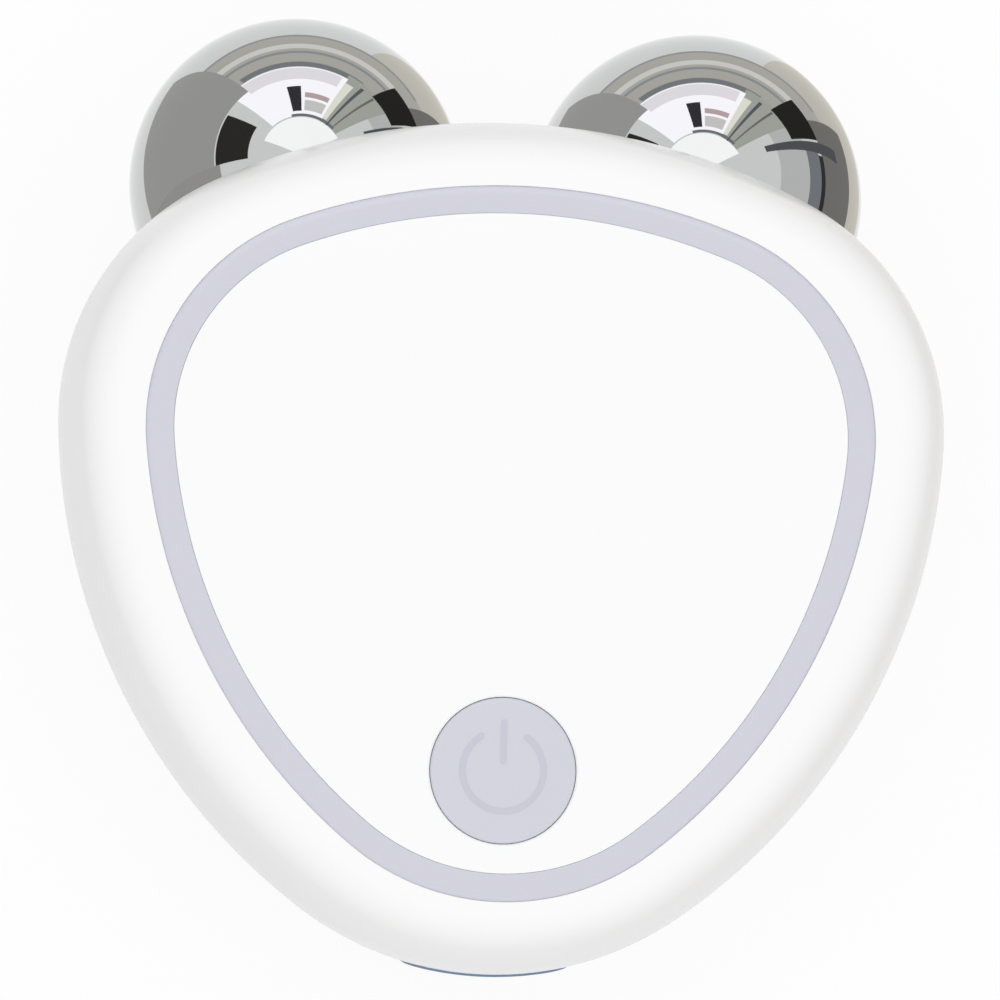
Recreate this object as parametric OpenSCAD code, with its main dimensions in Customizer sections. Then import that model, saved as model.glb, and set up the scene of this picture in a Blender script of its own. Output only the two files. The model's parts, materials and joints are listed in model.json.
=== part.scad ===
// Palm-sized facial toning device with two free-rolling electrode balls.
// Millimetres. The pieces are laid out in the device's own frame: X across, Y towards the
// balls, Z out of the face, with the flat face at Z = 0 and the body centred on X = Y = 0.
// at_rest() then lays the whole device on its back, on its two balls and its tail.

/* [Body] */
// Width of the body across the face
body_w = 62; // [58:0.5:68]
// Length of the body from the top edge to the tail
body_l = 59.5; // [57:0.5:64]
// Thickness from the flat face to the flat back
body_t = 22; // [21:0.5:25]
// Radius of the two upper corners of the outline
corner_r = 18.3; // [17.5:0.1:19.5]
// Radius of the top edge of the outline
top_r = 47.1; // [44:0.5:54]
// Radius of the two long side edges of the outline
side_r = 43.1; // [41:0.5:50]
// Radius of the tail of the outline
tail_r = 22.4; // [20.5:0.1:24]
// Depth of the parting line behind the face
parting_depth = 9; // [8.6:0.1:9.4]
// How far the front edge turns in from the outline
edge_in = 4.6; // [4.2:0.1:4.7]
// Radius where the front edge meets the flat face
edge_r = 3.4; // [2.8:0.1:3.8]
// Radius of the rounded back edge
back_r = 12.6; // [11:0.1:12.7]
// Wall of both shells
wall = 2; // [1.8:0.1:2.3]
// Depth of the lip that centres one shell in the other
lip_h = 0.8; // [0.6:0.1:1]

/* [Face] */
// Rim between the light ring and the side of the body
rim_side = 5.9; // [5.2:0.1:6.6]
// Rim between the light ring and the top edge
rim_top = 5.5; // [5:0.1:6.2]
// Rim between the light ring and the tail
rim_tail = 4.8; // [4.7:0.1:5.6]
// How much smaller the ring's corner radius is than the body's
ring_corner_step = 3.1; // [2.5:0.1:3.6]
// How much smaller the ring's top radius is than the body's
ring_top_step = 4.2; // [3:0.1:6]
// How much smaller the ring's side radius is than the body's
ring_side_step = 3.4; // [2.5:0.1:4.5]
// How much smaller the ring's tail radius is than the body's
ring_tail_step = 5.9; // [5:0.1:6.5]
// Width of the light ring on the face
ring_w = 1.9; // [1.5:0.1:2.2]
// Depth of the light ring
ring_h = 2.8; // [2.5:0.1:3]
// Thickness of the face panel
panel_t = 1.6; // [1.4:0.1:1.8]
// Thickness of the adhesive sheet under the panel
adhesive_t = 0.2; // [0.1:0.05:0.25]
// Depth of the underside of the deck below the face
deck_depth = 3.8; // [3.6:0.1:4]
// Wall around the ring groove, between deck and rim
groove_wall = 0.8; // [0.7:0.05:0.9]

/* [Button] */
// Diameter of the power button
button_d = 10; // [9:0.1:11]
// Distance from the tail edge to the button's centre
button_from_tail = 13.75; // [13.3:0.05:15]
// How deep the button's top sits below the face
button_sink = 0.1; // [0:0.05:0.3]
// Travel of the button
button_travel = 0.4; // [0.3:0.05:0.5]
// Gap all round the button
button_gap = 0.12; // [0.08:0.01:0.2]
// Width of the flange that keeps the button in
flange_w = 1.2; // [0.9:0.1:1.4]
// Thickness of that flange
flange_t = 0.6; // [0.5:0.05:0.7]
// Diameter of the stem under the button
stem_d = 3; // [2.6:0.1:3.4]
// Radius of the ring in the power mark
mark_r = 2.65; // [2.2:0.05:3]
// Width of the line in the power mark
mark_w = 0.45; // [0.3:0.05:0.6]
// Depth of the power mark
mark_depth = 0.08; // [0.05:0.01:0.12]

/* [Balls] */
// Diameter of each ball
ball_d = 24; // [23:0.1:24.6]
// Distance between the centres of the balls
ball_pitch = 28.8; // [28.2:0.1:31]
// Distance of the balls' centres below the top edge of the body
ball_drop = 3.2; // [2.4:0.1:4]
// Depth of the balls' centres behind the face
ball_depth = 20.6; // [20.2:0.1:21.6]
// Gap between a ball and its socket in the body
socket_gap = 1; // [0.8:0.1:1.2]
// Angle of each axle from the body's long axis
toe_angle = 40; // [37:1:42]
// Angle at which each axle dips into the body
dip_angle = 25; // [23:1:28]
// Diameter of the axle
axle_d = 4; // [3.6:0.1:4.2]
// Diameter of the thread at the axle's inner end
axle_thread_d = 3; // [2.6:0.1:3.1]
// Running clearance of the axle in its bushes, on radius
bush_gap = 0.04; // [0.02:0.01:0.08]
// Outer diameter of the bushes
bush_d = 7; // [6.4:0.1:7.2]
// Length of each bush
bush_l = 3.7; // [3.2:0.1:4]
// Diameter of the axle's collar
collar_d = 6.4; // [5.8:0.1:6.5]
// Thickness of the axle's collar
collar_t = 1; // [0.8:0.1:1.1]
// Diameter of the boss that holds the axle
boss_d = 7.4; // [7:0.1:8]
// Length of the axle's seat in the boss
boss_l = 5.2; // [4.8:0.1:5.6]
// Axial play of the ball on its axle
end_play = 0.1; // [0.05:0.05:0.2]
// Width of the nut across its flats
nut_af = 5; // [4.6:0.1:5.2]
// Height of the nut
nut_h = 2; // [1.8:0.1:2.2]

/* [Charging port] */
// Width of the port plug's flap
flap_w = 12; // [11:0.1:13]
// Height of the flap
flap_h = 5; // [4.6:0.1:5.2]
// How far the flap stands proud of the tail
flap_proud = 0.15; // [0.1:0.05:0.4]
// Depth of the flap's pocket behind the tail edge
pocket_depth = 1.45; // [1.3:0.05:1.7]
// Gap around the flap in its pocket
flap_gap = 0.12; // [0.08:0.01:0.2]
// Width of the charging socket
socket_w = 8.94; // [8.6:0.02:9.1]
// Height of the charging socket
socket_h = 3.26; // [3.1:0.02:3.4]
// Length of the charging socket
socket_l = 7.3; // [6.8:0.1:8]
// Sheet thickness of the charging socket
socket_wall = 0.3; // [0.25:0.01:0.35]
// Length of the plug's stem inside the socket
plug_stem_l = 3; // [2.5:0.1:3.5]
// Gap between the plug's stem and the socket
plug_gap = 0.12; // [0.08:0.01:0.18]

/* [Inside] */
// Depth of the top of the upper board below the face
upper_board_depth = 5.4; // [5.3:0.05:5.5]
// Thickness of the upper board
upper_board_t = 0.6; // [0.5:0.05:0.65]
// Depth of the top of the main board below the face
main_board_depth = 9.6; // [9.5:0.05:10]
// Thickness of the main board
main_board_t = 0.8; // [0.6:0.1:1]
// Width of the main board
main_board_w = 19; // [18.6:0.1:19.2]
// Length of the main board
main_board_l = 33; // [32.4:0.1:33.4]
// Distance of the main board from the tail edge
main_board_from_tail = 4.95; // [4.7:0.05:5.2]
// Width of the battery
battery_w = 18; // [16:0.5:18.5]
// Length of the battery
battery_l = 16; // [14:0.5:16.5]
// Thickness of the battery
battery_t = 4.4; // [4:0.1:4.6]
// Distance of the battery from the tail edge
battery_from_tail = 15.5; // [15.2:0.1:16]
// Thickness of the foam under the battery
foam_t = 0.8; // [0.6:0.1:1]
// Lights under each arc of the ring
lights_per_arc = 2; // [1:1:3]
// Diameter of the windows over the lights
window_d = 1.7; // [1.5:0.1:1.8]
// Side of the switch's body
switch_w = 4.6; // [4:0.1:5]
// Height of the switch's body
switch_h = 1.3; // [1.2:0.05:1.4]
// Diameter of the switch's plunger
plunger_d = 1.8; // [1.5:0.1:2]
// Diameter of the screws that close the shells
shell_screw_d = 2; // [1.8:0.1:2.2]
// Length of those screws under their heads
shell_screw_l = 8.8; // [6:0.1:9.5]
// Diameter of the small screws that hold the boards
board_screw_d = 1.6; // [1.4:0.1:1.7]
// Diameter of the insulated leads
lead_d = 1; // [0.8:0.05:1.1]

/* [Hidden] */
$fn = 72;

LEFT = -1;
RIGHT = 1;
fit_gap = 0.05;         // between pieces that are glued or screwed together
hole_gap = 0.05;        // round a screw in the hole that it bites into
cut = 0.01;             // how far a cutting shape overshoots the face that it opens
boss_margin = 2;        // how far the boss holes run past the socket wall on both sides

body_top = body_l / 2;
tail_edge = -body_l / 2;

// An outline is [half width, top, bottom, corner radius, top radius, side radius, tail radius].
BODY = [body_w / 2, body_top, tail_edge, corner_r, top_r, side_r, tail_r];
RING = [
    body_w / 2 - rim_side, body_top - rim_top, tail_edge + rim_tail,
    corner_r - ring_corner_step, top_r - ring_top_step, side_r - ring_side_step,
    tail_r - ring_tail_step,
];

// Centres of the arcs on the right-hand half of an outline.
function top_centre(o) = [0, o[1] - o[4]];
function tail_centre(o) = [0, o[2] + o[6]];
function corner_centre(o) =
    let (x = o[0] - o[3])
    [x, top_centre(o)[1] + sqrt(pow(o[4] - o[3], 2) - x * x)];
// The side arc runs smoothly into the corner arc and the tail arc.
function side_centre(o) =
    let (
        a = tail_centre(o), b = corner_centre(o), span = norm(b - a), along = (b - a) / span,
        reach_a = o[5] - o[6], reach_b = o[5] - o[3],
        foot = (reach_a * reach_a - reach_b * reach_b + span * span) / (2 * span),
        rise = sqrt(reach_a * reach_a - foot * foot)
    )
    a + along * foot + [-along[1], along[0]] * rise;
function bearing(from, to) = atan2(to[1] - from[1], to[0] - from[0]);

// The six arcs of an outline, each [centre, radius, first angle, last angle].
function arcs(o) =
    let (
        t = top_centre(o), c = corner_centre(o), s = side_centre(o), b = tail_centre(o),
        top_join = bearing(t, c), side_join = bearing(s, c), tail_join = bearing(s, b)
    )
    [
        [c, o[3], side_join, top_join],
        [t, o[4], top_join, 180 - top_join],
        [[-c[0], c[1]], o[3], 180 - top_join, 180 - side_join],
        [[-s[0], s[1]], o[5], 180 - side_join, 180 - tail_join],
        [b, o[6], -180 - tail_join, tail_join],
        [s, o[5], tail_join, side_join],
    ];
function on_arc(arc, inset, angle) = arc[0] + (arc[1] - inset) * [cos(angle), sin(angle)];

// Points round an outline moved in by inset, no more than step degrees apart.
fine_step = 3;
shell_step = 5;
coarse_step = 9;
function outline_points(o, inset, step) = [
    for (arc = arcs(o))
        let (n = ceil((arc[3] - arc[2]) / step), turn = arc[3] - arc[2])
        for (i = [0 : n - 1]) on_arc(arc, inset, arc[2] + turn * i / n)
];

module outline(o, inset) {
    polygon(outline_points(o, inset, fine_step));
}

module plate(o, inset, low, high) {
    translate([0, 0, low]) linear_extrude(high - low) outline(o, inset);
}

// Joins a stack of outlines, each [inset, height] from the bottom up, into one solid.
module loft(o, levels, step) {
    n = len(outline_points(o, 0, step));
    top = len(levels) - 1;
    polyhedron(
        points = [for (l = levels, p = outline_points(o, l[0], step)) [p[0], p[1], l[1]]],
        faces = [
            [for (k = [0 : n - 1]) k],
            [for (k = [n - 1 : -1 : 0]) top * n + k],
            for (i = [0 : top - 1], k = [0 : n - 1])
                let (a = i * n + k, b = i * n + (k + 1) % n) each [[a, b + n, b], [a, a + n, b + n]],
        ]
    );
}

// The front edge is a tight arc into the face and a wide arc into the widest line.
flank_r = (pow(edge_in, 2) + pow(parting_depth - edge_r, 2) - pow(edge_r, 2))
    / (2 * (edge_in - edge_r));
flank_angle = atan2(parting_depth - edge_r, flank_r - edge_in);
overshoot = 0.5;
lip_inset = wall / 2 + fit_gap;

// Levels of the front half, moved in by skin from the outer surface, in n and m steps.
function front_levels(skin, n, m) = [
    for (i = [0 : n]) let (a = flank_angle * i / n)
        [flank_r - (flank_r - skin) * cos(a), (flank_r - skin) * sin(a) - parting_depth],
    for (i = [1 : m]) let (a = flank_angle + (90 - flank_angle) * i / m)
        [edge_in - (edge_r - skin) * cos(a), (edge_r - skin) * sin(a) - edge_r],
];

// Levels of the back half, moved in by skin from the outer surface, in n steps.
function back_levels(skin, n) = [
    for (i = [n : -1 : 0]) let (a = 90 * i / n)
        [back_r - (back_r - skin) * cos(a), back_r - body_t - (back_r - skin) * sin(a)],
    [skin, -parting_depth],
];

// Balls and their axles. Along an axle, distances run from the ball's centre into the body.
ball_r = ball_d / 2;
ball_x = ball_pitch / 2;
ball_y = body_top - ball_drop;
socket_r = ball_r + socket_gap;
axle_r = axle_d / 2;
boss_r = boss_d / 2;
seat_face = ball_r + 0.3;
boss_end = seat_face + boss_l;
tab_t = 0.4;
tab_r = 2.9;
tab_w = 1.8;
tab_reach = 5.6;
nut_face = boss_end + tab_t;
axle_end = nut_face + nut_h + 0.8;
outer_bush_end = seat_face - collar_t - end_play;
inner_bush_start = -3.9;
clip_t = 0.6;
clip_r = 2.9;
clip_groove_r = 1.5;
clip_start = inner_bush_start - end_play - clip_t;
axle_tip = clip_start - 0.4;
bore_end = axle_tip - 1;
seal_start = seat_face + 0.9;
seal_h = 1;
seal_r = 3;

function axle_way(side) =
    [-side * sin(toe_angle) * cos(dip_angle), -cos(toe_angle) * cos(dip_angle), sin(dip_angle)];
function axle_side(side) = [side * cos(toe_angle), -sin(toe_angle), 0];
function ball_centre(side) = [side * ball_x, ball_y, -ball_depth];

module at_ball(side) {
    translate(ball_centre(side))
        rotate([0, 90 - dip_angle, 270 - side * toe_angle])
            children();
}

module both_balls(r) {
    for (side = [LEFT, RIGHT]) translate(ball_centre(side)) rotate([0, 90, 0]) sphere(r);
}

module rod(r, low, high) {
    translate([0, 0, low]) cylinder(r = r, h = high - low);
}

module tube(outer_r, inner_r, low, high) {
    difference() {
        rod(outer_r, low, high);
        rod(inner_r, low - cut, high + cut);
    }
}

module at_places(places) {
    for (p = places) translate([p[0], p[1], 0]) children();
}

// The device rests on the two balls and on the rounded back edge of its tail.
tail_round_y = tail_edge + back_r;
tail_round_z = back_r - body_t;
ball_below_round = ball_depth + tail_round_z;
ball_from_round = ball_y - tail_round_y;
rest_tilt = atan2(ball_below_round, ball_from_round)
    - asin((back_r - ball_r) / norm([ball_below_round, ball_from_round]));
rest_lift = ball_r + ball_depth * cos(rest_tilt) - ball_y * sin(rest_tilt);
rest_front = ball_y * cos(rest_tilt) + ball_depth * sin(rest_tilt) + ball_r;
rest_back = (tail_edge + flank_r) * cos(rest_tilt) + parting_depth * sin(rest_tilt) - flank_r;

module at_rest() {
    translate([0, -(rest_front + rest_back) / 2, rest_lift])
        rotate([rest_tilt, 0, 0])
            children();
}

// Button, pad and switch, down from the face.
button_y = tail_edge + button_from_tail;
button_r = button_d / 2;
button_chamfer = 0.25;
panel_bottom = -panel_t - adhesive_t;
flange_top = panel_bottom - fit_gap;
flange_bottom = flange_top - flange_t;
flange_r = button_r + flange_w;
pad_gap = 0.03;
pad_floor = flange_bottom - 0.8;
pad_outer_r = flange_r - 0.4;
pad_inner_r = 3.4;
stem_end = flange_bottom - 1.15;
plunger_top = stem_end - 0.02;
plunger_bottom = plunger_top - 1;
plunger_gap = 0.1;
mark_open = 32;
mark_bar_l = 2.4;
mark_bar_y = 1.1;

// Screws and the posts that they bite into.
bezel_gap = 0.2;        // between the inner frame and the front shell's rim, for the weld bead
shell_post_r = 2.6;
post_to_side = 13.5;
post_to_balls = 20.55;
post_to_tail = 17.25;
post_to_board = 0.5;
upper_post_x = body_w / 2 - post_to_side;
upper_post_y = ball_y - post_to_balls;
lower_post_x = main_board_w / 2 + post_to_board + shell_post_r;
lower_post_y = tail_edge + post_to_tail;
shell_posts = [
    [upper_post_x, upper_post_y], [-upper_post_x, upper_post_y],
    [lower_post_x, lower_post_y], [-lower_post_x, lower_post_y],
];
shell_screw_r = shell_screw_d / 2;
shell_head_r = 1.9;
shell_head_h = 1;
shell_head_sink = 0.2;
shell_head_top = panel_bottom - shell_head_sink;
screw_spare = 0.2;      // depth of a hole past the tip of its screw
shell_screw_end = shell_head_top - shell_head_h - shell_screw_l - screw_spare;
slot_l = 2.6;
slot_w = 0.5;
slot_depth = 0.5;
board_screw_r = board_screw_d / 2;
board_head_r = 1.4;
board_head_h = 0.9;
standoff_r = 2.2;
standoff_to_top = 10.25;
standoff_to_side = 8.1;
standoff_to_tail = 24.75;
upper_board_posts = [
    [0, RING[1] - standoff_to_top],
    [RING[0] - standoff_to_side, tail_edge + standoff_to_tail],
    [standoff_to_side - RING[0], tail_edge + standoff_to_tail],
];
upper_screw_tip = -2.5;
thin_post_r = 1.9;
main_screw_l = 3.6;
post_clearance = 0.4;   // between a post and the hole in a board that it passes

// Boards, one above the other, and the battery behind them.
upper_board_bottom = -upper_board_depth - upper_board_t;
upper_board_inset = 0.2;
main_board_bottom = -main_board_depth - main_board_t;
main_screw_end = main_board_bottom - main_screw_l;
main_board_y = tail_edge + main_board_from_tail;
main_board_end = main_board_y + main_board_l;
battery_y = tail_edge + battery_from_tail;
battery_end = battery_y + battery_l;
battery_to_post = 0.35;
board_post_in = 2.3;
board_post_from_tail = 5.8;
board_post_x = main_board_w / 2 - board_post_in;
board_post_low_y = main_board_y + board_post_from_tail;
board_post_high_y = battery_end + battery_to_post + thin_post_r;
main_board_posts = [
    [board_post_x, board_post_high_y], [-board_post_x, board_post_high_y],
    [board_post_x, board_post_low_y], [-board_post_x, board_post_low_y],
];
connector_w = 12;
connector_l = 2.6;
connector_from_end = 9.5;
connector_y = main_board_end - connector_from_end;

// Carrier that holds both axles and stands on two posts of the rear shell.
foam_bottom = wall - body_t;
carrier_t = 1.4;
carrier_w = 21;
carrier_l = 4.8;
carrier_stand = 2.4;
carrier_to_sockets = 3.95;
carrier_bottom = foam_bottom + carrier_stand;
carrier_y = ball_y - socket_r - wall - carrier_to_sockets;
carrier_block_w = 8;
carrier_block_l = 7.4;
carrier_block_h = 2.2;
carrier_post_in = 1.9;
carrier_post_up = 1.8;
carrier_post_x = carrier_w / 2 - carrier_post_in;
carrier_post_y = carrier_y + carrier_post_up;
carrier_posts = [[carrier_post_x, carrier_post_y], [-carrier_post_x, carrier_post_y]];

// The battery lies on its foam, on the inside of the back.
battery_bottom = foam_bottom + foam_t;
battery_corner_r = 1;
foam_margin = 1.5;

// Charging port in the tail.
port_z = main_board_bottom - socket_h / 2;
pocket_y = tail_edge + pocket_depth;
socket_y = pocket_y + 0.1;
socket_fit = 0.1;
mouth_l = 4;
frame_y = tail_edge + 2.1;
frame_l = 1.6;
frame_w = 12.8;
frame_h = 5.2;
tongue_w = 6.69;
tongue_t = 0.7;
tongue_l = 4.4;
tongue_base = 1.1;
tongue_gap = 0.15;
plug_slot_l = 1.7;

// A shape with round ends, w by h across, from y to y + l, on the port's axis.
module slot(w, h, y, l) {
    translate([0, y, port_z])
        rotate([-90, 0, 0]) {
            translate([(h - w) / 2, -h / 2, 0]) cube([w - h, h, l]);
            for (side = [LEFT, RIGHT])
                translate([side * (w - h) / 2, 0, 0]) cylinder(d = h, h = l);
        }
}

// A box centred on X, from its lowest corner's y and z.
module block(w, y, l, z, h) {
    translate([-w / 2, y, z]) cube([w, l, h]);
}

// Lights and windows stand on the middle line of the ring.
light_w = 0.8;
light_l = 1.6;
light_h = 0.6;
module along_ring() {
    for (arc = arcs(RING), i = [0 : lights_per_arc - 1]) {
        angle = arc[2] + (i + 0.5) / lights_per_arc * (arc[3] - arc[2]);
        p = on_arc(arc, ring_w / 2, angle);
        translate([p[0], p[1], 0]) rotate([0, 0, angle]) children();
    }
}

// A round lead through a list of points.
lead_r = lead_d / 2;
lead_sides = 8;
lead_z = lead_r + 0.03 - main_board_depth;
function lead_way(p, i) =
    let (v = p[min(i + 1, len(p) - 1)] - p[max(i - 1, 0)]) v / norm(v);
function lead_ring(p, i) =
    let (w = lead_way(p, i), u = cross(w, [1, 0.2, 0]), a = u / norm(u), b = cross(w, a))
    [for (k = [0 : lead_sides - 1])
        p[i] + lead_r * (cos(k * 360 / lead_sides) * a + sin(k * 360 / lead_sides) * b)];
module lead(p) {
    n = lead_sides;
    last = len(p) - 1;
    polyhedron(
        points = [for (i = [0 : last]) each lead_ring(p, i)],
        faces = [
            [for (k = [0 : n - 1]) k],
            [for (k = [n - 1 : -1 : 0]) last * n + k],
            for (i = [0 : last - 1], k = [0 : n - 1])
                let (a = i * n + k, b = i * n + (k + 1) % n) each [[a, b + n, b], [a, a + n, b + n]],
        ]
    );
}

// Casing.

module front_shell() {
    at_rest() color("white")
        difference() {
            loft(BODY, front_levels(0, 6, 4), shell_step);
            difference() {
                loft(BODY, concat([[wall, -parting_depth - overshoot]], front_levels(wall, 3, 2)),
                    coarse_step);
                both_balls(socket_r + wall);
            }
            difference() {
                loft(BODY, [
                    [wall / 2, -parting_depth - overshoot],
                    [wall / 2, lip_h + fit_gap - parting_depth],
                ], shell_step);
                both_balls(socket_r + wall);
            }
            plate(RING, -fit_gap, -wall - cut, cut);
            both_balls(socket_r);
        }
}

module rear_shell_walls() {
    difference() {
        loft(BODY, back_levels(0, 8), shell_step);
        difference() {
            loft(BODY, concat(back_levels(wall, 4), [[wall, overshoot - parting_depth]]),
                coarse_step);
            both_balls(socket_r + wall);
        }
    }
    difference() {
        loft(BODY, [[lip_inset, -parting_depth - overshoot], [lip_inset, lip_h - parting_depth]],
            shell_step);
        loft(BODY, [[wall, -parting_depth - 1], [wall, 0]], coarse_step);
        both_balls(socket_r + wall + fit_gap);
    }
}

module rear_posts() {
    at_places(shell_posts) rod(shell_post_r, -body_t, -deck_depth);
    at_places(main_board_posts) rod(thin_post_r, -body_t, main_board_bottom);
    at_places(carrier_posts) rod(thin_post_r, -body_t, carrier_bottom);
    block(frame_w, frame_y, frame_l, port_z - frame_h / 2, frame_h);
}

module rear_shell() {
    at_rest() color("white")
        difference() {
            union() {
                rear_shell_walls();
                intersection() {
                    loft(BODY, concat(back_levels(wall / 2, 4), [[wall / 2, 0]]), coarse_step);
                    rear_posts();
                }
            }
            both_balls(socket_r);
            for (side = [LEFT, RIGHT])
                at_ball(side)
                    rod(boss_r + socket_fit, seat_face - boss_margin, socket_r + wall + boss_margin);
            at_places(shell_posts)
                rod(shell_screw_r + hole_gap, shell_screw_end, 0);
            at_places(main_board_posts)
                rod(board_screw_r + hole_gap, main_screw_end, 0);
            at_places(carrier_posts)
                rod(board_screw_r + hole_gap, foam_bottom, 0);
            slot(flap_w + 2 * flap_gap, flap_h + 2 * flap_gap, tail_edge - 1, pocket_depth + 1);
            slot(socket_w + 2 * socket_fit, socket_h + 2 * socket_fit, pocket_y - cut, mouth_l);
        }
}

module light_ring() {
    at_rest() color("lavender")
        translate([0, 0, -ring_h])
            linear_extrude(ring_h)
                difference() {
                    outline(RING, 0);
                    outline(RING, ring_w);
                }
}

module face_panel() {
    at_rest() color("white")
        difference() {
            plate(RING, ring_w + fit_gap, -panel_t, 0);
            translate([0, button_y, 0]) rod(button_r + button_gap, -panel_t - cut, cut);
        }
}

module panel_adhesive() {
    at_rest() color("gainsboro")
        difference() {
            plate(RING, ring_w + 4 * fit_gap, panel_bottom, -panel_t);
            translate([0, button_y, 0]) rod(button_r + button_gap, panel_bottom - cut, cut);
        }
}

module inner_frame() {
    at_rest() color("whitesmoke")
        difference() {
            union() {
                plate(RING, -groove_wall, -deck_depth, -wall - bezel_gap);
                plate(RING, ring_w + fit_gap, -deck_depth, panel_bottom);
                at_places(upper_board_posts) rod(standoff_r, -upper_board_depth, -deck_depth);
            }
            difference() {
                plate(RING, -fit_gap, -ring_h, 0);
                plate(RING, ring_w + fit_gap, -ring_h - cut, cut);
            }
            along_ring() rod(window_d / 2, -deck_depth - cut, 0);
            translate([0, button_y, 0]) {
                rod(flange_r + button_gap, pad_floor, 0);
                rod(stem_d / 2 + 3 * button_gap, -deck_depth - cut, 0);
            }
            at_places(shell_posts) {
                rod(shell_screw_r + hole_gap, -deck_depth - cut, 0);
                rod(shell_head_r + 2 * hole_gap, shell_head_top - shell_head_h, 0);
            }
            at_places(upper_board_posts) rod(board_screw_r, -upper_board_depth - cut, upper_screw_tip);
        }
}

// Button.

module power_mark() {
    rotate_extrude(angle = 360 - 2 * mark_open, start = 90 + mark_open)
        translate([mark_r - mark_w / 2, 0]) square([mark_w, mark_depth + cut]);
    translate([-mark_w / 2, mark_bar_y, 0]) cube([mark_w, mark_bar_l, mark_depth + cut]);
}

module power_button() {
    at_rest() color("lavender")
        translate([0, button_y, 0])
            difference() {
                union() {
                    rotate_extrude()
                        polygon([
                            [0, flange_bottom], [flange_r, flange_bottom], [flange_r, flange_top],
                            [button_r, flange_top], [button_r, -button_sink - button_chamfer],
                            [button_r - button_chamfer, -button_sink], [0, -button_sink],
                        ]);
                    rod(stem_d / 2, stem_end, flange_bottom);
                }
                translate([0, 0, -button_sink - mark_depth]) power_mark();
            }
}

module button_pad() {
    at_rest() color("silver")
        translate([0, button_y, 0]) tube(pad_outer_r, pad_inner_r, pad_floor, flange_bottom - pad_gap);
}

module switch_plunger() {
    at_rest() color("black")
        translate([0, button_y, 0]) rod(plunger_d / 2, plunger_bottom, plunger_top);
}

module switch_body() {
    at_rest() color("dimgray")
        translate([0, button_y, 0])
            difference() {
                block(switch_w, -switch_w / 2, switch_w, -upper_board_depth, switch_h);
                rod(plunger_d / 2 + plunger_gap, plunger_bottom - button_travel - plunger_gap, 0);
            }
}

// Boards.

module upper_board() {
    at_rest() color("darkgreen")
        difference() {
            plate(RING, upper_board_inset, upper_board_bottom, -upper_board_depth);
            at_places(shell_posts) rod(shell_post_r + post_clearance, upper_board_bottom - cut, 0);
            at_places(upper_board_posts) rod(board_screw_r + 2 * hole_gap, upper_board_bottom - cut, 0);
        }
}

module ring_lights() {
    at_rest() color("lightyellow")
        along_ring()
            translate([-light_w / 2, -light_l / 2, -upper_board_depth]) cube([light_w, light_l, light_h]);
}

module small_screws(places, seat, tip, head_up) {
    at_places(places) {
        rod(board_screw_r, min(seat, tip), max(seat, tip));
        translate([0, 0, head_up ? seat : seat - board_head_h]) cylinder(r = board_head_r, h = board_head_h);
    }
}

module upper_board_screws() {
    at_rest() color("silver")
        small_screws(upper_board_posts, upper_board_bottom, upper_screw_tip, false);
}

module board_connector() {
    at_rest() color("black")
        block(connector_w, connector_y, connector_l, -main_board_depth,
            upper_board_bottom + main_board_depth);
}

module main_board() {
    at_rest() color("darkgreen")
        difference() {
            block(main_board_w, main_board_y, main_board_l, main_board_bottom, main_board_t);
            at_places(main_board_posts) rod(board_screw_r + 2 * hole_gap, main_board_bottom - cut, 0);
        }
}

// Each part on the main board is [x, distance from the board's end by the balls, width, length,
// height], and negative heights hang below.
board_parts = [
    [-3.8, 16.2, 5, 5, 0.9], [4.2, 16.2, 4, 4, 1.8], [-4.5, 22.2, 3, 3, 0.8],
    [3.5, 22.2, 3.2, 1.6, 1.2], [0, 13.2, 2, 1.2, 0.6], [-6.5, 12.2, 1.6, 0.8, 0.6],
    [6.5, 12.2, 1.6, 0.8, 0.6], [0, 3, 4, 1.4, 1], [-4, 14.2, 4, 3, -1], [4, 14.2, 3, 3, -0.9],
    [0, 24.2, 3, 3, -0.9],
];
module board_components() {
    at_rest() color("black")
        for (p = board_parts)
            translate([
                p[0] - p[2] / 2, main_board_end - p[1] - p[3] / 2,
                p[4] > 0 ? -main_board_depth : main_board_bottom + p[4],
            ])
                cube([p[2], p[3], abs(p[4])]);
}

module main_board_screws() {
    at_rest() color("silver")
        small_screws(main_board_posts, -main_board_depth, main_screw_end + screw_spare, true);
}

module shell_screws() {
    at_rest() color("silver")
        at_places(shell_posts)
            difference() {
                union() {
                    rod(shell_screw_r, shell_screw_end + screw_spare, shell_head_top - shell_head_h);
                    rod(shell_head_r, shell_head_top - shell_head_h, shell_head_top);
                }
                for (turn = [0, 90])
                    rotate([0, 0, turn])
                        block(slot_l, -slot_w / 2, slot_w, shell_head_top - slot_depth, 1);
            }
}

// Charging port.

module charging_socket() {
    at_rest() color("silver")
        difference() {
            slot(socket_w, socket_h, socket_y, socket_l);
            slot(socket_w - 2 * socket_wall, socket_h - 2 * socket_wall, socket_y - cut, socket_l + 2 * cut);
        }
}

module socket_tongue() {
    base_y = socket_y + socket_l - tongue_base;
    at_rest() color("black") {
        slot(socket_w - 2 * socket_wall, socket_h - 2 * socket_wall, base_y, tongue_base);
        block(tongue_w, base_y - tongue_l, tongue_l, port_z - tongue_t / 2, tongue_t);
    }
}

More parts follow.
